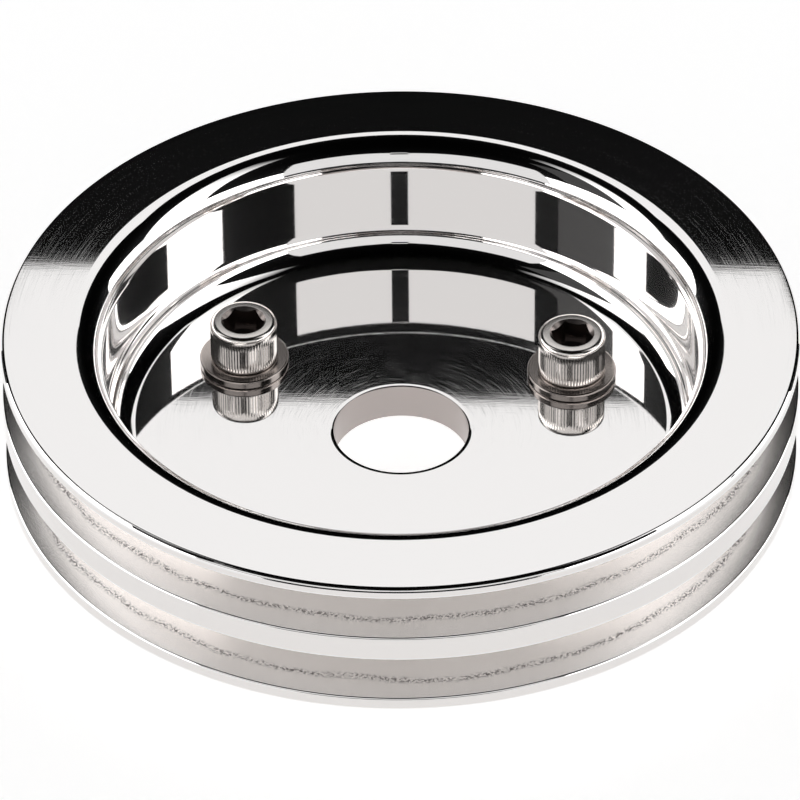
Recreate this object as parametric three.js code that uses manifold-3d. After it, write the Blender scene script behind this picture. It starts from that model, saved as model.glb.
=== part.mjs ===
// A crankshaft pulley with two V-belt grooves, turned from one aluminium billet, with the socket head
// cap screws and flat washers that clamp its web to a crankshaft damper.
// Millimetres, +Z along the axis towards the open front. z = 0 is the level of the screws' tips, which
// stand out behind the hub. The sections below count their heights from the hub's rear face.
import * as THREE from "three";
import { mergeVertices } from "three/addons/utils/BufferGeometryUtils.js";
import Module from "manifold-3d";

const wasm = await Module();
wasm.setup();

// Pulley, outside
const outerRadius = 83.8; // over the belt flanges
const grooveCount = 2;
const grooveWidth = 10.4; // across the mouth of a belt groove
const grooveDepth = 11;
const grooveHalfAngle = 18; // degrees, each side of a groove from square to the axis
const frontFlange = 2.6; // land in front of the first groove
const middleLand = 5.8; // land between two grooves
const rearFlange = 3.0; // land behind the last groove
const flangeBreak = 0.9; // bevel on the outermost edges
const landBreak = 0.5; // bevel where a land meets a groove

// Pulley, inside
const rimWall = 10.4; // metal between the groove bottoms and the recess
const lipRadius = 6.35; // rounded edge from the front face into the recess
const cornerRadius = 6.35; // fillet between the recess wall and the web
const webThickness = 8.5;
const hubProjection = 3.5; // how far the hub stands out behind the rim
const hubMargin = 2.5; // hub face left outside the washers' circle
const hubCorner = 1.5; // fillet between the hub and the rim's rear face
const boreRadius = 14.3;
const edgeBreak = 0.4; // bevel on the bore, the hub and the screw holes

// Screw pattern
const holeCount = 3;
const firstHole = 30; // degrees from +X
const boltInset = 21.9; // from the recess wall to the screws' circle
const holeClearance = 0.4; // radial, screw in web
const washerClearance = 0.3; // radial, screw in washer
const seatGap = 0.05; // left between faces that touch

// Socket head cap screw
const threadRadius = 4.7625;
const screwLength = 25.4; // under the head
const tipBevel = 0.9;
const headRadius = 7.14;
const headHeight = 9.525;
const headBevel = 0.6; // across the head's top edge
const headBevelDrop = 0.9; // down the head's side
const footBevel = 0.35; // under the head
const socketAcrossFlats = 7.94;
const socketDepth = 5;
const socketRim = 0.2; // how far the countersink's edge lies outside the socket's corners

// Washer
const washerRadius = 9.5;
const washerThickness = 2;
const washerBreak = 0.35;

// The holes that hold a screw, counted from the first, and how far each screw is turned in degrees.
const fittedScrews = [
  { side: "right", hole: 0, turn: -8 },
  { side: "left", hole: 1, turn: 0 },
];

// Facets round each turned piece, and along a quarter-circle in a section
const pulleyFacets = 72;
const smallFacets = 32;
const arcSteps = 6;

// Sizes that follow from the ones above
const rimWidth =
  frontFlange + grooveCount * grooveWidth + (grooveCount - 1) * middleLand + rearFlange;
const frontZ = hubProjection + rimWidth;
const recessRadius = outerRadius - grooveDepth - rimWall;
const boltCircleRadius = recessRadius - boltInset;
const hubRadius = boltCircleRadius + washerRadius + hubMargin;
const grooveTaper = grooveDepth * Math.tan(THREE.MathUtils.degToRad(grooveHalfAngle));
const headSeatZ = webThickness + seatGap + washerThickness + seatGap;
const hubFaceHeight = screwLength - headSeatZ; // of the hub's rear face over the screws' tips

// A quarter-circle from angle "from" to angle "to" in degrees, as section points [radius, height].
function arc(centreRadius, centreHeight, radius, from, to) {
  const points = [];
  for (let i = 0; i <= arcSteps; i++) {
    const angle = THREE.MathUtils.degToRad(from + ((to - from) * i) / arcSteps);
    points.push([centreRadius + radius * Math.cos(angle), centreHeight + radius * Math.sin(angle)]);
  }
  return points;
}

// Turns a section of [radius, height] points, anticlockwise, about +Z.
function turned(section, facets) {
  const points = [...section, section[0]].map(([r, z]) => new THREE.Vector2(r, z));
  return new THREE.LatheGeometry(points, facets).rotateX(Math.PI / 2);
}

// A three.js geometry as a manifold-3d solid.
function solid(geometry) {
  const bare = geometry.clone();
  bare.deleteAttribute("normal");
  bare.deleteAttribute("uv");
  const merged = mergeVertices(bare, 1e-4);
  const mesh = new wasm.Mesh({
    numProp: 3,
    vertProperties: merged.attributes.position.array,
    triVerts: new Uint32Array(merged.index.array),
  });
  return new wasm.Manifold(mesh);
}

// A manifold-3d solid as a three.js geometry.
function geometryOf(body) {
  const mesh = body.getMesh();
  const geometry = new THREE.BufferGeometry();
  geometry.setAttribute("position", new THREE.BufferAttribute(mesh.vertProperties, 3));
  geometry.setIndex(new THREE.BufferAttribute(mesh.triVerts, 1));
  geometry.computeVertexNormals();
  return geometry;
}

// One belt groove, from its rear edge at height z to its front edge.
function grooveSection(z) {
  const root = outerRadius - grooveDepth;
  return [
    [outerRadius, z - landBreak],
    [outerRadius - landBreak, z],
    [root, z + grooveTaper],
    [root, z + grooveWidth - grooveTaper],
    [outerRadius - landBreak, z + grooveWidth],
    [outerRadius, z + grooveWidth + landBreak],
  ];
}

function pulleySection() {
  const grooves = [];
  for (let i = 0; i < grooveCount; i++) {
    grooves.push(...grooveSection(hubProjection + rearFlange + i * (grooveWidth + middleLand)));
  }
  return [
    [boreRadius, edgeBreak],
    [boreRadius + edgeBreak, 0],
    [hubRadius - edgeBreak, 0],
    [hubRadius, edgeBreak],
    ...arc(hubRadius + hubCorner, hubProjection - hubCorner, hubCorner, 180, 90),
    [outerRadius - flangeBreak, hubProjection],
    [outerRadius, hubProjection + flangeBreak],
    ...grooves,
    [outerRadius, frontZ - flangeBreak],
    [outerRadius - flangeBreak, frontZ],
    ...arc(recessRadius + lipRadius, frontZ - lipRadius, lipRadius, 90, 180),
    ...arc(recessRadius - cornerRadius, webThickness + cornerRadius, cornerRadius, 0, -90),
    [boreRadius + edgeBreak, webThickness],
    [boreRadius, webThickness - edgeBreak],
  ];
}

// The cutter for one screw hole, with a bevel at each end of the web.
function holeCutter() {
  const radius = threadRadius + holeClearance;
  const wide = radius + edgeBreak;
  const beyond = 1;
  return turned(
    [
      [0, -beyond],
      [wide + beyond, -beyond],
      [radius, edgeBreak],
      [radius, webThickness - edgeBreak],
      [wide + beyond, webThickness + beyond],
      [0, webThickness + beyond],
    ],
    smallFacets,
  );
}

function atHole(index) {
  const angle = THREE.MathUtils.degToRad(firstHole + (index * 360) / holeCount);
  return new THREE.Vector3(
    boltCircleRadius * Math.cos(angle),
    boltCircleRadius * Math.sin(angle),
    0,
  );
}

function pulleyGeometry() {
  let body = solid(turned(pulleySection(), pulleyFacets));
  for (let i = 0; i < holeCount; i++) {
    const place = atHole(i);
    body = body.subtract(solid(holeCutter().translate(place.x, place.y, 0)));
  }
  return geometryOf(body);
}

function washerGeometry() {
  const bore = threadRadius + washerClearance;
  const section = [
    [bore, washerBreak],
    [bore + washerBreak, 0],
    [washerRadius - washerBreak, 0],
    [washerRadius, washerBreak],
    [washerRadius, washerThickness - washerBreak],
    [washerRadius - washerBreak, washerThickness],
    [bore + washerBreak, washerThickness],
    [bore, washerThickness - washerBreak],
  ];
  return turned(section, smallFacets);
}

// The cap screw stands with the underside of its head at z = 0.
function screwGeometry() {
  const section = [
    [0, -screwLength],
    [threadRadius - tipBevel, -screwLength],
    [threadRadius, -screwLength + tipBevel],
    [threadRadius, 0],
    [headRadius - footBevel, 0],
    [headRadius, footBevel],
    [headRadius, headHeight - headBevelDrop],
    [headRadius - headBevel, headHeight],
    [0, headHeight],
  ];
  const cornerDistance = socketAcrossFlats / Math.sqrt(3);
  const above = 1;
  const hexagon = new THREE.CylinderGeometry(
    cornerDistance,
    cornerDistance,
    socketDepth + above,
    6,
  );
  hexagon.rotateX(Math.PI / 2);
  hexagon.rotateZ(Math.PI / 2); // corners on the X axis
  hexagon.translate(0, 0, headHeight - socketDepth + (socketDepth + above) / 2);
  const rim = cornerDistance + socketRim;
  const countersink = turned(
    [
      [0, headHeight - rim],
      [rim + above, headHeight + above],
      [0, headHeight + above],
    ],
    smallFacets,
  );
  const blank = solid(turned(section, smallFacets));
  return geometryOf(blank.subtract(solid(hexagon)).subtract(solid(countersink)));
}

const polishedAluminium = new THREE.MeshStandardMaterial({
  color: "#e6e7ea",
  roughness: 0.06,
  metalness: 1,
});
const screwSteel = new THREE.MeshStandardMaterial({
  color: "#a39d98",
  roughness: 0.3,
  metalness: 1,
});
const washerSteel = new THREE.MeshStandardMaterial({
  color: "#7d7875",
  roughness: 0.28,
  metalness: 1,
});

function named(name, geometry, material) {
  const mesh = new THREE.Mesh(geometry, material);
  mesh.name = name;
  return mesh;
}

const assembly = new THREE.Group();
const pulley = named("pulley", pulleyGeometry(), polishedAluminium);
pulley.position.z = hubFaceHeight;
assembly.add(pulley);
for (const { side, hole, turn } of fittedScrews) {
  const place = atHole(hole);
  const washer = named(`${side}_washer`, washerGeometry(), washerSteel);
  washer.position.set(place.x, place.y, hubFaceHeight + webThickness + seatGap);
  const screw = named(`${side}_screw`, screwGeometry(), screwSteel);
  screw.position.set(place.x, place.y, hubFaceHeight + headSeatZ);
  screw.rotation.z = THREE.MathUtils.degToRad(turn);
  assembly.add(washer, screw);
}

export default assembly;
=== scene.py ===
import math

import bpy
import numpy as np
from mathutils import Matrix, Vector


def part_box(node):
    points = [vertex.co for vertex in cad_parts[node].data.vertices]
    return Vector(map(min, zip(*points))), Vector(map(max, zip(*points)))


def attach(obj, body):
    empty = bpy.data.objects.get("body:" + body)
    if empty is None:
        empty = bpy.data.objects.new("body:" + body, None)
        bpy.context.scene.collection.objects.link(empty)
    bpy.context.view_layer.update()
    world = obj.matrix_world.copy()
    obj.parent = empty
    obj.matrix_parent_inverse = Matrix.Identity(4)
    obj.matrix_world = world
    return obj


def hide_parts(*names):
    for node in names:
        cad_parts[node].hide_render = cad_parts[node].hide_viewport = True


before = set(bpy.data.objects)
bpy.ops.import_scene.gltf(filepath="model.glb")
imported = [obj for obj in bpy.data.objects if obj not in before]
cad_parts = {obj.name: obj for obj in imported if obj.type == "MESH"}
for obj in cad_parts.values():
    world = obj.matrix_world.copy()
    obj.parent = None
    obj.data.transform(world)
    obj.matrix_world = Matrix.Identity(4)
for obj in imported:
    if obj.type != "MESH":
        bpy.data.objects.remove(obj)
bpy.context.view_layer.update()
print("frame loaded:", ", ".join(sorted(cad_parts)))

mm = 0.001
weldStep = 0.001  # mm, points in one cell of this size are one vertex
weldShift = 0.37  # of a cell, so that round sizes don't fall on the edge of one


# Rounds the corners of a profile. Each corner is (radius, height, rounding, finish), in mm. A corner
# becomes the arc of that rounding tangent to both its sides. Its finish is that of the side after it and
# of the arc, unless a fifth value gives the arc's own. The metal lies to the left of the way the profile
# runs, so a normal is its direction turned right.
def roundedStrips(corners, arcSteps):
    at = np.array([c[:2] for c in corners], float)
    along = np.diff(at, axis=0)
    along /= np.linalg.norm(along, axis=1)[:, None]
    strips, last = [], at[0]
    for k in range(1, len(corners)):
        before = along[k - 1]
        sideNormal = (before[1], -before[0])
        rounding = corners[k][2]
        if k < len(corners) - 1 and rounding > 0:
            after = along[k]
            turn = math.atan2(before[0] * after[1] - before[1] * after[0], before @ after)
            start = at[k] - before * rounding * math.tan(abs(turn) / 2)
        else:
            turn, start = 0.0, at[k]
        if np.linalg.norm(start - last) > weldStep:
            strips.append((np.array([last, start]), np.array([sideNormal] * 2), corners[k - 1][3]))
        last = start
        if turn:
            steps = max(3, math.ceil(abs(turn) / (math.pi / 2) * arcSteps(rounding)))
            heading = math.atan2(before[1], before[0]) + np.linspace(0, turn, steps + 1)
            normals = np.stack([np.sin(heading), -np.cos(heading)], 1)
            side = math.copysign(rounding, turn)
            points = start + side * (normals - normals[0])
            strips.append((points, normals, corners[k][-1]))
            last = points[-1]
    return strips


# A grid of points as four-sided faces: point (i, j) is joined to (i + 1, j) and (i, j + 1), and the
# last i to the first. Its faces point the way of i crossed with j.
def gridSheet(points, normals=None, finish=0):
    rows, columns = points.shape[:2]
    i, j = np.meshgrid(np.arange(rows), np.arange(columns - 1), indexing="ij")
    after = (i + 1) % rows
    corners = [i * columns + j, after * columns + j, after * columns + j + 1, i * columns + j + 1]
    faces = np.stack(corners, -1).reshape(-1, 4)
    flat = points.reshape(-1, 3)
    return {
        "points": flat,
        "normals": np.zeros_like(flat) if normals is None else normals.reshape(-1, 3),
        "faces": faces,
        "finish": finish,
    }


# A profile strip carried round a vertical axis: (radius, height) becomes
# (x + radius cos a, y + radius sin a, height) at every angle a.
def spunSheet(strip, angles, centre=(0.0, 0.0), lift=0.0):
    profile, profileNormals, finish = strip
    cosine, sine = np.cos(angles)[:, None], np.sin(angles)[:, None]
    level = np.ones_like(cosine)
    points = np.stack(
        [
            centre[0] + cosine * profile[:, 0],
            centre[1] + sine * profile[:, 0],
            lift + level * profile[:, 1],
        ],
        -1,
    )
    normals = np.stack(
        [cosine * profileNormals[:, 0], sine * profileNormals[:, 0], level * profileNormals[:, 1]],
        -1,
    )
    return gridSheet(points, normals, finish)


# Welds sheets into one closed mesh, in metres. With exact True the sheets' own normals shade it, and
# otherwise its edges sharper than sharpAngle do.
def buildPiece(name, sheets, finishes, exact, sharpAngle=math.radians(32)):
    points = np.concatenate([s["points"] for s in sheets])
    normals = np.concatenate([s["normals"] for s in sheets])
    starts = np.cumsum([0] + [len(s["points"]) for s in sheets[:-1]])
    cell = np.floor(points / weldStep + weldShift).astype(np.int64)
    _, kept, welded = np.unique(cell, axis=0, return_index=True, return_inverse=True)
    welded = welded.reshape(-1)
    sizes = np.concatenate([np.full(len(s["faces"]), s["faces"].shape[1]) for s in sheets])
    finish = np.concatenate([np.full(len(s["faces"]), s["finish"]) for s in sheets])
    corners = np.concatenate([(s["faces"] + b).reshape(-1) for s, b in zip(sheets, starts)])
    mesh = bpy.data.meshes.new(name)
    mesh.vertices.add(len(kept))
    mesh.vertices.foreach_set("co", (points[kept] * mm).astype(np.float32).reshape(-1))
    mesh.loops.add(len(corners))
    mesh.loops.foreach_set("vertex_index", welded[corners].astype(np.int32))
    mesh.polygons.add(len(sizes))
    mesh.polygons.foreach_set("loop_start", np.cumsum([0, *sizes[:-1]]).astype(np.int32))
    mesh.polygons.foreach_set("material_index", finish.astype(np.int32))
    mesh.update(calc_edges=True)
    mesh.shade_smooth()
    if exact:
        mesh.normals_split_custom_set(normals[corners].tolist())
    else:
        mesh.set_sharp_from_angle(angle=sharpAngle)
    for material in finishes:
        mesh.materials.append(material)
    piece = bpy.data.objects.new(name, mesh)
    bpy.context.scene.collection.objects.link(piece)
    return piece


# An sRGB colour such as "8a8f94" as linear values with alpha.
def linear(code):
    values = [int(code[i : i + 2], 16) / 255 for i in (0, 2, 4)]
    return [v / 12.92 if v <= 0.04045 else ((v + 0.055) / 1.055) ** 2.4 for v in values] + [1.0]


# Adds a node. A value that is a socket is linked, any other is set; extra settings are the node's own.
def addNode(tree, kind, values=(), **settings):
    node = tree.nodes.new(kind)
    for key, value in settings.items():
        setattr(node, key, value)
    for key, value in dict(values).items():
        if isinstance(value, bpy.types.NodeSocket):
            tree.links.new(value, node.inputs[key])
        else:
            node.inputs[key].default_value = value
    return node


# An empty material and its node tree.
def newFinish(name):
    material = bpy.data.materials.new(name)
    material.use_nodes = True
    material.node_tree.nodes.clear()
    return material, material.node_tree


# Coordinates that draw rings about a vertical axis: the direction round the axis, slowly, and the
# distance along a profile, taken as radius plus height, once for every "spacing" mm.
def ringCoordinates(tree, centre, spacing, arc):
    place = addNode(tree, "ShaderNodeTexCoord").outputs["Object"]
    centred = addNode(tree, "ShaderNodeMapping", {"Vector": place, "Location": centre})
    split = addNode(tree, "ShaderNodeSeparateXYZ", {0: centred.outputs[0]})
    level = addNode(
        tree, "ShaderNodeVectorMath", {0: centred.outputs[0], 1: (1, 1, 0)}, operation="MULTIPLY"
    )
    radius = addNode(tree, "ShaderNodeVectorMath", {0: level.outputs[0]}, operation="LENGTH")
    heading = addNode(tree, "ShaderNodeVectorMath", {0: level.outputs[0]}, operation="NORMALIZE")
    travel = addNode(
        tree, "ShaderNodeMath", {0: radius.outputs["Value"], 1: split.outputs["Z"]}, operation="ADD"
    )
    rings = addNode(
        tree, "ShaderNodeMath", {0: travel.outputs[0], 1: 1 / (spacing * mm)}, operation="MULTIPLY"
    )
    slow = addNode(
        tree, "ShaderNodeVectorMath", {0: heading.outputs[0], "Scale": arc}, operation="SCALE"
    )
    flat = addNode(tree, "ShaderNodeSeparateXYZ", {0: slow.outputs[0]})
    return addNode(
        tree,
        "ShaderNodeCombineXYZ",
        {"X": flat.outputs["X"], "Y": flat.outputs["Y"], "Z": rings.outputs[0]},
    ).outputs[0]


# Billet aluminium, turned and then buffed to a mirror on a wheel. The eye sees sharp reflections whose
# edges are frayed by the wheel's strokes, faint hairlines along the rings, and a thin grey haze that the
# compound leaves, which is the coat here. Strokes are a few microns wide in life, and drawn 0.38 mm wide
# so that they show. With the greyer colour given for the lands it paints shade, as dark as their
# reflection of the floor.
def buffedAluminium(name, code):
    material, tree = newFinish(name)
    place = addNode(tree, "ShaderNodeTexCoord").outputs["Object"]
    strokes = addNode(
        tree,
        "ShaderNodeTexNoise",
        {
            "Vector": addNode(
                tree, "ShaderNodeMapping", {"Vector": place, "Scale": (110, 2600, 110)}
            ).outputs[0],
            "Scale": 1.0,
            "Detail": 2.0,
        },
    )
    fine = addNode(
        tree,
        "ShaderNodeTexNoise",
        {"Vector": ringCoordinates(tree, (0, 0, 0), 0.3, 6), "Scale": 1.0, "Detail": 2.0},
    )
    waves = addNode(tree, "ShaderNodeTexNoise", {"Vector": place, "Scale": 140.0, "Detail": 1.0})
    normal = addNode(
        tree, "ShaderNodeBump", {"Height": waves.outputs[0], "Strength": 1.0, "Distance": 1e-6}
    ).outputs[0]
    normal = addNode(
        tree,
        "ShaderNodeBump",
        {"Height": fine.outputs[0], "Strength": 1.0, "Distance": 3e-7, "Normal": normal},
    ).outputs[0]
    normal = addNode(
        tree,
        "ShaderNodeBump",
        {"Height": strokes.outputs[0], "Strength": 1.0, "Distance": 7e-7, "Normal": normal},
    ).outputs[0]
    hair = addNode(
        tree,
        "ShaderNodeTexNoise",
        {"Vector": ringCoordinates(tree, (0, 0, 0), 0.2, 4), "Scale": 1.0, "Detail": 2.0},
    )
    roughness = addNode(
        tree,
        "ShaderNodeMapRange",
        {"Value": hair.outputs[0], 1: 0.5, 2: 0.8, 3: 0.028, 4: 0.08},
    )
    shader = addNode(
        tree,
        "ShaderNodeBsdfPrincipled",
        {
            "Base Color": linear(code),
            "Metallic": 1.0,
            "Roughness": roughness.outputs[0],
            "Coat Weight": 0.3,
            "Coat Roughness": 0.3,
            "Normal": normal,
        },
    )
    addNode(tree, "ShaderNodeOutputMaterial", {"Surface": shader.outputs[0]})
    return material


# The same metal as the lathe left it in the belt grooves: satin and brushed round the rim, so lights
# spread up and down the wall but not round it, with dark smears of compound part way down each wall.
# The feed marks are 0.1 mm apart in life and drawn at 0.22 mm.
def turnedAluminium(code, smearCode, smearRadius):
    material, tree = newFinish("turned billet aluminium")
    marks = addNode(
        tree,
        "ShaderNodeTexNoise",
        {"Vector": ringCoordinates(tree, (0, 0, 0), 0.22, 3), "Scale": 1.0, "Detail": 2.0},
    )
    bump = addNode(
        tree, "ShaderNodeBump", {"Height": marks.outputs[0], "Strength": 1.0, "Distance": 4e-6}
    )
    place = addNode(tree, "ShaderNodeTexCoord").outputs["Object"]
    level = addNode(
        tree, "ShaderNodeVectorMath", {0: place, 1: (1, 1, 0)}, operation="MULTIPLY"
    ).outputs[0]
    radius = addNode(tree, "ShaderNodeVectorMath", {0: level}, operation="LENGTH").outputs["Value"]
    drift = addNode(tree, "ShaderNodeTexNoise", {"Vector": place, "Scale": 70.0, "Detail": 1.0})
    path = addNode(
        tree,
        "ShaderNodeMath",
        {0: drift.outputs[0], 1: 0.002, 2: smearRadius * mm - 0.001},
        operation="MULTIPLY_ADD",
    )
    off = addNode(tree, "ShaderNodeMath", {0: radius, 1: path.outputs[0]}, operation="SUBTRACT")
    away = addNode(tree, "ShaderNodeMath", {0: off.outputs[0]}, operation="ABSOLUTE")
    near = addNode(tree, "ShaderNodeMapRange", {"Value": away.outputs[0], 1: 0.0009, 2: 0.0, 3: 0, 4: 1})
    blots = addNode(
        tree,
        "ShaderNodeTexNoise",
        {"Vector": ringCoordinates(tree, (0, 0, 0), 0.22, 150), "Scale": 1.0, "Detail": 4.0},
    )
    smear = addNode(
        tree, "ShaderNodeMapRange", {"Value": blots.outputs[0], 1: 0.46, 2: 0.58, 3: 0, 4: 0.9}
    )
    dark = addNode(
        tree, "ShaderNodeMath", {0: near.outputs[0], 1: smear.outputs[0]}, operation="MULTIPLY"
    )
    colour = addNode(
        tree,
        "ShaderNodeMix",
        {0: dark.outputs[0], 6: linear(code), 7: linear(smearCode)},
        data_type="RGBA",
    )
    shader = addNode(
        tree,
        "ShaderNodeBsdfPrincipled",
        {
            "Base Color": colour.outputs[2],
            "Metallic": 1.0,
            "Roughness": 0.27,
            "Anisotropic": 0.85,
            "Anisotropic Rotation": 0.25,
            "Normal": bump.outputs[0],
            "Tangent": addNode(
                tree, "ShaderNodeTangent", direction_type="RADIAL", axis="Z"
            ).outputs[0],
        },
    )
    addNode(tree, "ShaderNodeOutputMaterial", {"Surface": shader.outputs[0]})
    return material


# The same metal reamed and left alone in the bore: dull and streaked. Its grey colour beside the polish
# round it is painted shade of the bore.
def reamedAluminium(code):
    material, tree = newFinish("reamed billet aluminium with painted bore shade")
    place = addNode(tree, "ShaderNodeTexCoord").outputs["Object"]
    stretched = addNode(tree, "ShaderNodeMapping", {"Vector": place, "Scale": (900, 900, 120)})
    streaks = addNode(
        tree,
        "ShaderNodeTexNoise",
        {"Vector": stretched.outputs[0], "Scale": 1.0, "Detail": 3.0},
    )
    bump = addNode(
        tree, "ShaderNodeBump", {"Height": streaks.outputs[0], "Strength": 1.0, "Distance": 6e-6}
    )
    shader = addNode(
        tree,
        "ShaderNodeBsdfPrincipled",
        {
            "Base Color": linear(code),
            "Metallic": 1.0,
            "Roughness": 0.3,
            "Normal": bump.outputs[0],
        },
    )
    addNode(tree, "ShaderNodeOutputMaterial", {"Surface": shader.outputs[0]})
    return material


# Alloy steel with a satin finish. The eye sees soft, slightly warm grey lights, and on a washer, whose
# faces are ringed, lights that spread from its middle.
def satinSteel(name, code, roughness, anisotropy, centre):
    material, tree = newFinish(name)
    rings = addNode(
        tree,
        "ShaderNodeTexNoise",
        {
            "Vector": ringCoordinates(tree, (-centre[0] * mm, -centre[1] * mm, 0), 0.18, 2),
            "Scale": 1.0,
            "Detail": 3.0,
        },
    )
    bump = addNode(
        tree,
        "ShaderNodeBump",
        {"Height": rings.outputs[0], "Strength": 1.0, "Distance": 1.5e-6},
    )
    shader = addNode(
        tree,
        "ShaderNodeBsdfPrincipled",
        {
            "Base Color": linear(code),
            "Metallic": 1.0,
            "Roughness": roughness,
            "Anisotropic": anisotropy,
            "Anisotropic Rotation": 0.25,
            "Normal": bump.outputs[0],
            "Tangent": addNode(
                tree, "ShaderNodeTangent", direction_type="RADIAL", axis="Z"
            ).outputs[0],
        },
    )
    addNode(tree, "ShaderNodeOutputMaterial", {"Surface": shader.outputs[0]})
    return material


pulleyLow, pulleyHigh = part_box("pulley")
hubHeight = pulleyLow.z / mm  # of the hub's rear face

# Lengths in mm, angles in degrees; heights are counted from the hub's rear face
pulleySizes = {
    "outerRadius": pulleyHigh.x / mm,
    "frontFace": pulleyHigh.z / mm - hubHeight,
    "grooveCount": 2,
    "grooveWidth": 10.4,
    "grooveDepth": 11.0,
    "grooveHalfAngle": 18.0,
    "middleLand": 5.8,
    "rearFlange": 3.0,
    "outerRounding": 0.5,
    "bevelWidth": 0.52,  # of the front edge
    "bevelAngle": 45.2,
    "bevelTopRounding": 0.6,
    "bevelFoot": (0.17, 0.44),  # a steeper bevel under the first, across and down
    "bevelKneeRounding": 0.8,
    "bevelFootRounding": 0.15,
    "landFoot": (0.14, 0.36),  # bevel where a land meets the groove in front of it, across and down
    "landRounding": 0.6,
    "landFootRounding": 0.15,
    "rootRounding": 0.5,
    "rimWall": 10.4,
    "lipRounding": 6.35,
    "cornerRounding": 6.35,
    "web": 8.5,
    "hubProjection": 3.5,
    "hubRadius": 52.5,
    "hubRounding": 0.4,
    "hubCorner": 1.5,
    "boreRadius": 14.3,
    "boreMargin": 2.0,  # of the web round the bore that is made with it
    "boreRounding": 0.15,
    "boreRollOff": 0.45,  # where buffing has dulled the bore's edge, it slopes before it turns
    "boreRollOffAngle": 14.0,
    "boreRollOffRounding": 3.5,
    "smearRadius": 79.4,
    "holeRadius": 5.16,
    "holeRounding": 0.4,
    "boltCircle": 40.5,
    "holeAngles": (30, 150, 270),
    "facets": 360,
    "radialSteps": 20,
    "buffedColour": "f7f5f4",
    # the lands' greyer colour is painted shade, standing in for the dimmer floor they reflect
    "landShadeColour": "e4e1df",
    "grooveColour": "f3f0ee",
    "smearColour": "575050",
    # the bore's grey is painted shade inside the hole
    "boreShadeColour": "b2aaa7",
}
buffed, grey, turned, reamed = 0, 1, 2, 3  # which of the pulley's finishes a strip has


# Steps in a quarter circle: more on the lip and on the corner under the wall than on small edges.
def arcSteps(rounding):
    return 28 if rounding > 6 else 10


# The outside, from the hub's rear edge out and up the rim, over the front face and down the recess wall
# to the web. A groove's wall leans in by the groove's depth times the tangent of its half angle.
def pulleyOutside(p):
    taper = p["grooveDepth"] * math.tan(math.radians(p["grooveHalfAngle"]))
    radius, root = p["outerRadius"], p["outerRadius"] - p["grooveDepth"]
    wall = root - p["rimWall"]
    corners = [
        (p["hubRadius"] - p["hubRounding"], 0, 0, buffed),
        (p["hubRadius"], 0, p["hubRounding"], buffed),
        (p["hubRadius"], p["hubProjection"], p["hubCorner"], buffed),
        (radius, p["hubProjection"], p["outerRounding"], grey, buffed),
    ]
    z = p["hubProjection"] + p["rearFlange"]
    across, down = p["landFoot"]
    for _ in range(p["grooveCount"]):
        corners += [
            (radius, z - down, p["landFootRounding"], buffed),
            (radius - across, z, p["landRounding"], turned, buffed),
            (root, z + taper, p["rootRounding"], turned),
            (root, z + p["grooveWidth"] - taper, p["rootRounding"], turned),
            (radius, z + p["grooveWidth"], p["landRounding"], grey, buffed),
        ]
        z += p["grooveWidth"] + p["middleLand"]
    across, down = p["bevelFoot"]
    knee = p["frontFace"] - p["bevelWidth"] * math.tan(math.radians(p["bevelAngle"]))
    corners += [
        (radius, knee - down, p["bevelFootRounding"], buffed),
        (radius - across, knee, p["bevelKneeRounding"], buffed),
        (radius - across - p["bevelWidth"], p["frontFace"], p["bevelTopRounding"], buffed),
        (wall, p["frontFace"], p["lipRounding"], buffed),
        (wall, p["web"], p["cornerRounding"], buffed),
        (wall - p["cornerRounding"], p["web"], 0, buffed),
    ]
    return roundedStrips(corners, arcSteps)


# The wall of a hole through the web, from its front edge down to its rear edge.
def holeStrips(p, radius):
    rounding = p["holeRounding"]
    corners = [
        (radius + rounding, p["web"], 0, buffed),
        (radius, p["web"], rounding, buffed),
        (radius, 0, rounding, buffed),
        (radius + rounding, 0, 0, buffed),
    ]
    return roundedStrips(corners, arcSteps)


# The wall of the bore, whose front edge buffing has rolled off.
def boreStrips(p):
    radius, rounding, width = p["boreRadius"], p["holeRounding"], p["boreRollOff"]
    drop = width * math.tan(math.radians(p["boreRollOffAngle"]))
    corners = [
        (radius + p["boreMargin"], p["web"], 0, buffed),
        (radius + width, p["web"], p["boreRollOffRounding"], buffed),
        (radius, p["web"] - drop, p["boreRounding"], reamed),
        (radius, 0, rounding, buffed),
        (radius + p["boreMargin"], 0, 0, buffed),
    ]
    return roundedStrips(corners, arcSteps)


# The edge of one third of the web's ring, anticlockwise: along the outer arc, in along a radius, back
# along the bore and out along the other radius.
def sectorEdge(p, middle, outer):
    half, steps = 60, p["facets"] // 3
    inner = p["boreRadius"] + p["boreMargin"]
    turn = np.arange(steps) * 120 / steps
    share = np.arange(p["radialSteps"]) / p["radialSteps"]
    radius = np.concatenate(
        [
            np.full(steps, outer),
            outer + (inner - outer) * share,
            np.full(steps, inner),
            inner + (outer - inner) * share,
        ]
    )
    angle = np.radians(
        np.concatenate(
            [
                middle - half + turn,
                np.full(len(share), middle + half),
                middle + half - turn,
                np.full(len(share), middle - half),
            ]
        )
    )
    return np.stack([radius * np.cos(angle), radius * np.sin(angle)], 1)


# One third of a face of the web round its screw hole: straight lines from the hole's edge to the
# sector's edge.
def webSheet(edge, ring, height, up):
    share = np.linspace(0, 1, 5)[None, :, None]
    flat = ring[:, None] * (1 - share) + edge[:, None] * share
    if up:
        flat = flat[:, ::-1]
    points = np.concatenate([flat, np.full((*flat.shape[:2], 1), height)], -1)
    return gridSheet(points, np.broadcast_to((0.0, 0.0, 1.0 if up else -1.0), points.shape), buffed)


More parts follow.
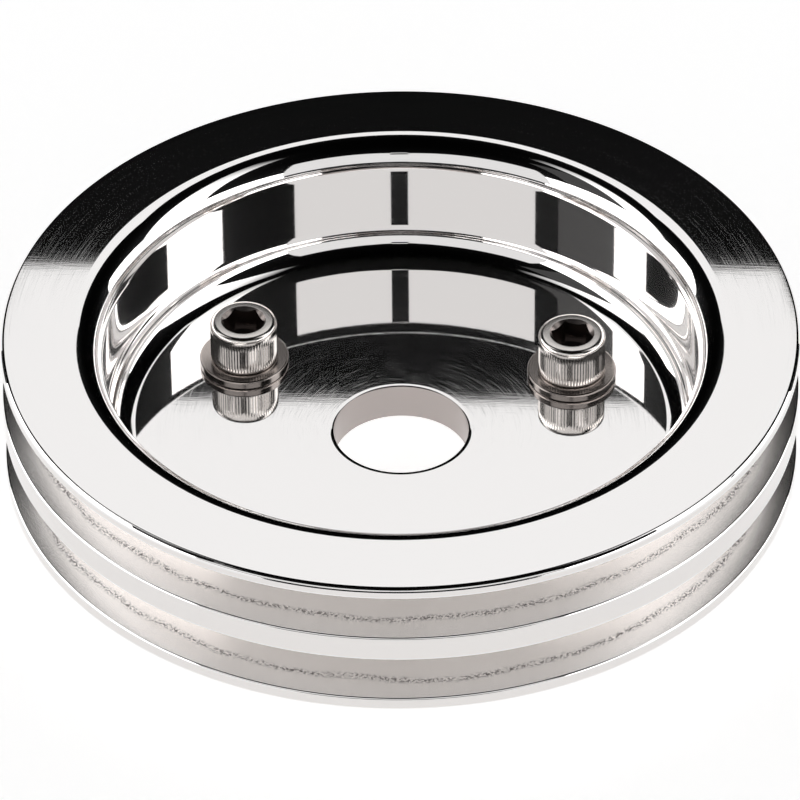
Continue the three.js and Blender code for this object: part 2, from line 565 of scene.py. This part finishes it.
# Everything that is turned about the pulley's axis, then the web in three thirds with a hole in each. The
# points round a hole lie in the directions of the points on the two faces' edges, half way between them.
def pulleySheets(p):
    around = np.radians(np.arange(p["facets"]) * 360 / p["facets"])
    sheets = [spunSheet(s, around) for s in pulleyOutside(p) + boreStrips(p)]
    floorEdge = p["outerRadius"] - p["grooveDepth"] - p["rimWall"] - p["cornerRounding"]
    hubEdge = p["hubRadius"] - p["hubRounding"]
    for middle in p["holeAngles"]:
        centre = p["boltCircle"] * np.array(
            [math.cos(math.radians(middle)), math.sin(math.radians(middle))]
        )
        edges = [sectorEdge(p, middle, outer) for outer in (floorEdge, hubEdge)]
        headings = [np.unwrap(np.arctan2(*(e - centre).T[::-1])) for e in edges]
        heading = (headings[0] + headings[1]) / 2
        reach = p["holeRadius"] + p["holeRounding"]
        ring = centre + reach * np.stack([np.cos(heading), np.sin(heading)], 1)
        sheets.append(webSheet(edges[0], ring, p["web"], True))
        sheets.append(webSheet(edges[1], ring, 0.0, False))
        sheets += [spunSheet(s, heading, centre) for s in holeStrips(p, p["holeRadius"])]
    for sheet in sheets:
        sheet["points"] = sheet["points"] + (0, 0, hubHeight)
    return sheets


pulleyPiece = buildPiece(
    "pulleyBody",
    pulleySheets(pulleySizes),
    [
        buffedAluminium("buffed billet aluminium", pulleySizes["buffedColour"]),
        # This copy goes on the lands, and its greyer colour paints shade on them.
        buffedAluminium("buffed billet aluminium with painted land shade", pulleySizes["landShadeColour"]),
        turnedAluminium(
            pulleySizes["grooveColour"], pulleySizes["smearColour"], pulleySizes["smearRadius"]
        ),
        reamedAluminium(pulleySizes["boreShadeColour"]),
    ],
    exact=True,
)
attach(pulleyPiece, "pulley")
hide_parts("pulley")
print("pulley:", len(pulleyPiece.data.polygons), "faces")


# Lengths in mm; heights are counted from the underside of the head
screwSizes = {
    "headRadius": 7.14,
    "headHeight": 9.525,
    "headRounding": 1.15,
    "footRounding": 0.35,
    "ridges": 72,
    "ridgeDepth": 0.16,
    "ridgeFoot": 0.6,
    "ridgeTop": 7.7,
    "ridgeFade": 0.3,
    "socketFlats": 7.94,
    "socketDepth": 5.0,
    "socketRim": 0.2,
    "socketLead": 1.6,  # depth at which the hexagon is whole
    "floorInset": 0.86,  # of the hexagon, the next row in on the flat floor
    "drillRadius": 0.8,  # of the hexagon's half width
    "drillPoint": 1.3,
    "shankRadius": 4.7625,
    "shankFillet": 0.6,
    "length": 25.4,
    "pitch": 25.4 / 24,
    "threadStart": 1.6,
    "tipBevel": 0.9,
    "threadDepth": 0.6134,  # of the pitch
    "crestFlat": 0.125,  # of the pitch
    "rootFlat": 0.25,  # of the pitch
    "ridgeRows": 6,
    "samplesPerRidge": 4,
    "rowsPerPitch": 12,
    "bendPoints": 7,  # in a quarter circle on the head
    "filletPoints": 6,
    "stepWidth": 0.2,  # of the ring under the head that joins coarse rows to fine ones
    "headColour": "e6e1dd",
    # the socket's dark colour is painted shade of its recess
    "headRoughness": 0.2,
    "socketShadeColour": "7a7370",
    "socketRoughness": 0.24,
    "turns": {"left": 0, "right": -8},  # degrees, how far each screw is turned
}
# Lengths in mm; heights are counted from the underside
washerSizes = {
    "radius": 9.5,
    "bore": 5.0625,
    "thickness": 2.0,
    "rounding": 0.4,
    "facets": 144,
    "edgeSteps": 6,  # in a quarter circle
    "colour": "968f8b",
    "roughness": 0.17,
    "anisotropy": 0.3,
}


# Points of radius r and height z at every angle; r and z may change with the angle.
def ringPoints(angles, radii, heights):
    angles, radii, heights = np.broadcast_arrays(angles, radii, heights)
    return np.stack([np.cos(angles) * radii, np.sin(angles) * radii, heights], -1)


# A circle of points joined to one point on the axis.
def fanSheet(ring, tip, downward, finish=0):
    count = len(ring)
    i = np.arange(count)
    order = [i, (i + 1) % count, np.full(count, count)]
    faces = np.stack(order[::-1] if downward else order, 1)
    points = np.concatenate([ring, [tip]])
    return {"points": points, "normals": np.zeros_like(points), "faces": faces, "finish": finish}


# A flat ring between a coarse circle inside and one with "ratio" times as many points outside.
def stepSheet(inner, outer, ratio):
    count = len(inner)
    i = np.arange(count)[:, None]
    k = np.arange(ratio)[None, :]
    half = ratio // 2
    near = np.where(k < half, i, (i + 1) % count)
    first = count + i * ratio + k
    second = count + (i * ratio + k + 1) % (count * ratio)
    spokes = np.stack([near, second, first], -1).reshape(-1, 3)
    middle = count + i[:, 0] * ratio + half
    gaps = np.stack([i[:, 0], (i[:, 0] + 1) % count, middle], -1)
    points = np.concatenate([inner, outer])
    faces = np.concatenate([spokes, gaps])
    return {"points": points, "normals": np.zeros_like(points), "faces": faces, "finish": 0}


# The head: up its knurled side and over its rounded top to the socket. The ridges are a triangle wave
# in radius.
def headRows(s, angles):
    turns = angles * s["ridges"] / (2 * math.pi)
    wave = 1 - np.abs(2 * (turns % 1) - 1)
    top, side = s["headHeight"], s["headRadius"]
    foot, edge = s["footRounding"], s["headRounding"]
    bend = np.linspace(0, math.pi / 2, s["bendPoints"])
    rows = [(side - foot + foot * math.sin(b), foot - foot * math.cos(b)) for b in bend]
    low, high, fade = s["ridgeFoot"], s["ridgeTop"], s["ridgeFade"]
    rows.append((side, low))
    for z in np.linspace(low + fade, high - fade, s["ridgeRows"]):
        rows.append((side - s["ridgeDepth"] * wave, z))
    rows.append((side, high))
    rows += [(side - edge + edge * math.cos(b), top - edge + edge * math.sin(b)) for b in bend]
    rows.append((socketRimRadius(s), top))
    return rows


# The countersink's edge: the hexagon's corner is at its half width over the cosine of 30 degrees.
def socketRimRadius(s):
    return s["socketFlats"] / 2 / math.cos(math.pi / 6) + s["socketRim"]


# The socket: in over its countersink and down a hexagon, whose radius is its half width over the cosine
# of the angle to a flat.
def socketRows(s, angles):
    half, rim, top = s["socketFlats"] / 2, socketRimRadius(s), s["headHeight"]
    hexagon = half / np.cos(angles % (math.pi / 3) - math.pi / 6)
    rows = [(rim, top)]
    for share in (0.5, 1):
        radius = rim + (hexagon - rim) * share
        rows.append((radius, top - (rim - radius)))
    floor = top - s["socketDepth"]
    rows += [(hexagon, top - s["socketLead"]), (hexagon, floor)]
    rows.append((hexagon * s["floorInset"], floor))
    rows.append((np.full_like(angles, half * s["drillRadius"]), floor))
    return rows


# The thread, wound right-handed: the radius is a trapezoid wave of height over pitch less turns. Its
# depth fades to nothing at the plain shank under the head, and the tip's bevel cuts it down. With these
# flats its V is 54 degrees, where a real one's is 60.
def threadRows(s, angles):
    depth = s["threadDepth"] * s["pitch"]
    slope = 1 - s["crestFlat"] - s["rootFlat"]
    count = int(round((s["length"] - s["threadStart"]) / s["pitch"] * s["rowsPerPitch"]))
    rows = []
    for z in np.linspace(-s["length"], -s["threadStart"], count + 1):
        phase = (z / s["pitch"] - angles / (2 * math.pi)) % 1
        crest = np.clip((np.abs(2 * phase - 1) - s["rootFlat"]) / slope, 0, 1)
        runOut = min(1, (-s["threadStart"] - z) / s["pitch"])
        radius = s["shankRadius"] - depth * (1 - crest) * runOut
        bevel = s["shankRadius"] - s["tipBevel"] + z + s["length"]
        rows.append((np.minimum(radius, bevel), z))
    return rows


# The screw from its tip up: the tip's flat, the threaded shank and its fillet on coarse rings, then the
# head and its socket on fine ones.
def screwSheets(s):
    coarse = np.arange(s["ridges"]) * 2 * math.pi / s["ridges"]
    count = s["ridges"] * s["samplesPerRidge"]
    fine = np.arange(count) * 2 * math.pi / count
    neck = s["shankRadius"] + s["shankFillet"]
    bend = np.linspace(0, math.pi / 2, s["filletPoints"])
    fillet = s["shankFillet"]
    shank = threadRows(s, coarse)
    shank += [(neck - fillet * math.cos(b), fillet * (math.sin(b) - 1)) for b in bend]
    shankGrid = np.stack([ringPoints(coarse, r, z) for r, z in shank], 1)
    head = [(neck + s["stepWidth"], 0.0)] + headRows(s, fine)
    headGrid = np.stack([ringPoints(fine, r, z) for r, z in head], 1)
    socketGrid = np.stack([ringPoints(fine, r, z) for r, z in socketRows(s, fine)], 1)
    socketTip = (0, 0, s["headHeight"] - s["socketDepth"] - s["drillPoint"])
    return [
        fanSheet(shankGrid[:, 0], (0, 0, -s["length"]), True),
        gridSheet(shankGrid),
        stepSheet(shankGrid[:, -1], headGrid[:, 0], s["samplesPerRidge"]),
        gridSheet(headGrid),
        # the socket's finish is the darker steel, which paints shade inside it
        gridSheet(socketGrid, finish=1),
        fanSheet(socketGrid[:, -1], socketTip, False, finish=1),
    ]


# A flat ring with rounded edges: its profile runs out along the bottom, up, in along the top and down
# the bore.
def washerSheets(w):
    middle = (w["radius"] + w["bore"]) / 2
    rounding, top = w["rounding"], w["thickness"]
    corners = [
        (middle, 0, 0, 0),
        (w["radius"], 0, rounding, 0),
        (w["radius"], top, rounding, 0),
        (w["bore"], top, rounding, 0),
        (w["bore"], 0, rounding, 0),
        (middle, 0, 0, 0),
    ]
    around = np.radians(np.arange(w["facets"]) * 360 / w["facets"])
    strips = roundedStrips(corners, lambda rounding: w["edgeSteps"])
    return [spunSheet(strip, around) for strip in strips]


# Turns sheets about the vertical axis and moves them to where the CAD has the piece.
def placed(sheets, turn, move):
    cosine, sine = math.cos(math.radians(turn)), math.sin(math.radians(turn))
    spin = np.array([[cosine, sine, 0], [-sine, cosine, 0], [0, 0, 1]])
    for sheet in sheets:
        sheet["points"] = sheet["points"] @ spin + move
        sheet["normals"] = sheet["normals"] @ spin
    return sheets


# Where a node's axis stands, as x and y in mm: half way between the sides of its box.
def middleOf(node):
    low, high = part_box(node)
    return ((low.x + high.x) / 2 / mm, (low.y + high.y) / 2 / mm)


for side, turn in screwSizes["turns"].items():
    low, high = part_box(side + "_screw")
    centre = middleOf(side + "_washer")
    seat = high.z / mm - screwSizes["headHeight"]
    steel = satinSteel(
        side + " screw alloy steel",
        screwSizes["headColour"],
        screwSizes["headRoughness"],
        0.0,
        centre,
    )
    # The socket and its countersink get a darker steel: painted shade inside the recess.
    shaded = satinSteel(
        side + " broached alloy steel",
        screwSizes["socketShadeColour"],
        screwSizes["socketRoughness"],
        0.0,
        centre,
    )
    screw = buildPiece(
        side + "CapScrew",
        placed(screwSheets(screwSizes), turn, (*centre, seat)),
        [steel, shaded],
        exact=False,
    )
    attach(screw, side + "_screw")
    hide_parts(side + "_screw")
    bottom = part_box(side + "_washer")[0].z / mm
    steel = satinSteel(
        side + " washer steel",
        washerSizes["colour"],
        washerSizes["roughness"],
        washerSizes["anisotropy"],
        centre,
    )
    washer = buildPiece(
        side + "FlatWasher",
        placed(washerSheets(washerSizes), 0, (*centre, bottom)),
        [steel],
        exact=True,
    )
    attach(washer, side + "_washer")
    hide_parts(side + "_washer")
    print(side, "screw:", len(screw.data.polygons), "faces")


studio = {
    "cameraAzimuth": 4.4,  # degrees to the right of the -Y axis
    "cameraElevation": 39.198,
    "cameraRoll": 0.538,
    "cameraDistance": 1446.0,  # mm, to the aim
    "lens": 314.86,
    "aim": (-0.18, -23.7),  # mm right and back of the front face's centre
    "floorRadius": 9.0,  # m
    "floorFacets": 96,
    "paper": "ffffff",
    "tableGlow": 0.40,  # light that comes up through the paper from the table
    "skyLight": 0.60,
    "panelDistance": 2.5,  # m
}
# Panels that stand round the pulley: azimuths to the right of the camera and elevations in degrees, and
# brightness, where 1 is paper white. From its "fade" elevation a panel dims to nothing at its top.
standingPanels = {
    "front right panel": {"from": 3.2, "to": 41.9, "bottom": 7, "top": 43, "level": 0.80},
    "front left panel": {"from": -55.5, "to": -3.6, "bottom": 7, "top": 43.5, "level": 0.80},
    "front low panel": {"from": -3.6, "to": 3.2, "bottom": 7, "top": 36, "level": 0.80},
    "front high panel": {"from": -3.6, "to": 3.2, "bottom": 40.5, "top": 43, "level": 0.80},
    "right softbox": {"from": 74.4, "to": 104.5, "bottom": 24, "fade": 44, "top": 70, "level": 1.6},
    "right strip": {"from": 41, "to": 124, "bottom": 1, "top": 24, "level": 3.0},
    "left softbox": {"from": -114, "to": -94.2, "bottom": 33, "fade": 44, "top": 70, "level": 1.6},
    "left strip": {"from": -128, "to": -53, "bottom": 1, "top": 33, "level": 3.0},
    "left wall": {"from": -94.2, "to": -66, "bottom": 33, "top": 60, "level": 0.06},
}
# The softbox overhead, behind the pulley. Corners in mm right, back and up of the front face's centre.
overheadBox = {
    "corners": ((-120, 600, 452), (120, 594, 452), (175, 331, 460), (-175, 331, 460)),
    "level": 0.95,
}


# A direction at an azimuth to the right of the camera and an elevation, both in degrees.
def towards(azimuth, elevation):
    a = math.radians(azimuth + studio["cameraAzimuth"])
    e = math.radians(elevation)
    return Vector((math.sin(a) * math.cos(e), -math.cos(a) * math.cos(e), math.sin(e)))


# A point given to the right, back and up of the pulley's front face centre, in mm, as the camera sees.
def studioPoint(right, back, up):
    a = math.radians(studio["cameraAzimuth"])
    x = right * math.cos(a) - back * math.sin(a)
    y = right * math.sin(a) + back * math.cos(a)
    return Vector((x * mm, y * mm, pulleyHigh.z + up * mm))


# The camera looks at the aim from cameraDistance away, and roll turns its picture about that line.
def addCamera(s):
    camera = bpy.data.objects.new("camera", bpy.data.cameras.new("camera"))
    bpy.context.scene.collection.objects.link(camera)
    camera.data.lens = s["lens"]
    camera.data.sensor_width = 36
    camera.data.clip_start, camera.data.clip_end = 0.1, 60
    back = towards(0, s["cameraElevation"])
    camera.location = studioPoint(*s["aim"], 0) + back * s["cameraDistance"] * mm
    facing = (-back).to_track_quat("-Z", "Y").to_matrix()
    roll = math.radians(s["cameraRoll"])
    across, upward = facing.col[0].copy(), facing.col[1].copy()
    facing.col[0] = across * math.cos(roll) - upward * math.sin(roll)
    facing.col[1] = across * math.sin(roll) + upward * math.cos(roll)
    camera.rotation_euler = facing.to_euler()
    bpy.context.scene.camera = camera


# A flat stage object with one face.
def addFlat(name, corners, material):
    mesh = bpy.data.meshes.new(name)
    mesh.from_pydata([tuple(c) for c in corners], [], [list(range(len(corners)))])
    mesh.materials.append(material)
    flat = bpy.data.objects.new(name, mesh)
    bpy.context.scene.collection.objects.link(flat)
    return flat


# A glowing panel that shows only in reflections. Its brightness is level up to height fade[0], and falls
# in a straight line to 0 at height fade[1].
def addPanel(name, corners, level, fade=None):
    material, tree = newFinish(name + " diffuser cloth")
    strength = level
    if fade:
        place = addNode(tree, "ShaderNodeTexCoord").outputs["Object"]
        height = addNode(tree, "ShaderNodeSeparateXYZ", {0: place}).outputs["Z"]
        strength = addNode(
            tree,
            "ShaderNodeMapRange",
            {"Value": height, 1: fade[0], 2: fade[1], 3: level, 4: 0.0},
        ).outputs[0]
    glow = addNode(tree, "ShaderNodeEmission", {"Strength": strength})
    addNode(tree, "ShaderNodeOutputMaterial", {"Surface": glow.outputs[0]})
    panel = addFlat(name, corners, material)
    panel.visible_camera = False
    panel.visible_diffuse = False
    panel.visible_shadow = False


# An upright panel: both its side edges are as far off as panelDistance over the cosine of half its
# angle, and its heights over the front face are panelDistance times the tangents of its elevations.
def addStandingPanel(name, s):
    away = studio["panelDistance"]
    half = math.cos(math.radians((s["to"] - s["from"]) / 2))
    ends = [towards(s[end], 0) * away / half for end in ("from", "to")]
    heights = [
        pulleyHigh.z + away * math.tan(math.radians(s.get(key, s["top"])))
        for key in ("bottom", "fade", "top")
    ]
    low, high = Vector((0, 0, heights[0])), Vector((0, 0, heights[2]))
    corners = [ends[0] + low, ends[1] + low, ends[1] + high, ends[0] + high]
    addPanel(name, corners, s["level"], heights[1:] if "fade" in s else None)


# The paper, the sky's even light, which reflections don't show, and the panels.
def addStudio(s):
    material, tree = newFinish("white paper on a light table")
    shader = addNode(
        tree,
        "ShaderNodeBsdfPrincipled",
        {
            "Base Color": linear(s["paper"]),
            "Roughness": 1.0,
            "Specular IOR Level": 0.0,
            "Emission Color": linear(s["paper"]),
            "Emission Strength": s["tableGlow"],
        },
    )
    addNode(tree, "ShaderNodeOutputMaterial", {"Surface": shader.outputs[0]})
    angles = np.arange(s["floorFacets"]) * 2 * math.pi / s["floorFacets"]
    addFlat("floor", ringPoints(angles, s["floorRadius"], 0.0).tolist(), material)
    world = bpy.data.worlds.new("studio")
    world.use_nodes = True
    world.node_tree.nodes["Background"].inputs[0].default_value = (1, 1, 1, 1)
    world.node_tree.nodes["Background"].inputs[1].default_value = s["skyLight"]
    world.cycles_visibility.glossy = False
    bpy.context.scene.world = world
    bpy.context.scene.view_settings.view_transform = "Standard"
    for name, panel in standingPanels.items():
        addStandingPanel(name, panel)
    corners = [studioPoint(*corner) for corner in overheadBox["corners"]]
    addPanel("overhead softbox", corners, overheadBox["level"])


addCamera(studio)
addStudio(studio)
print("studio ready")
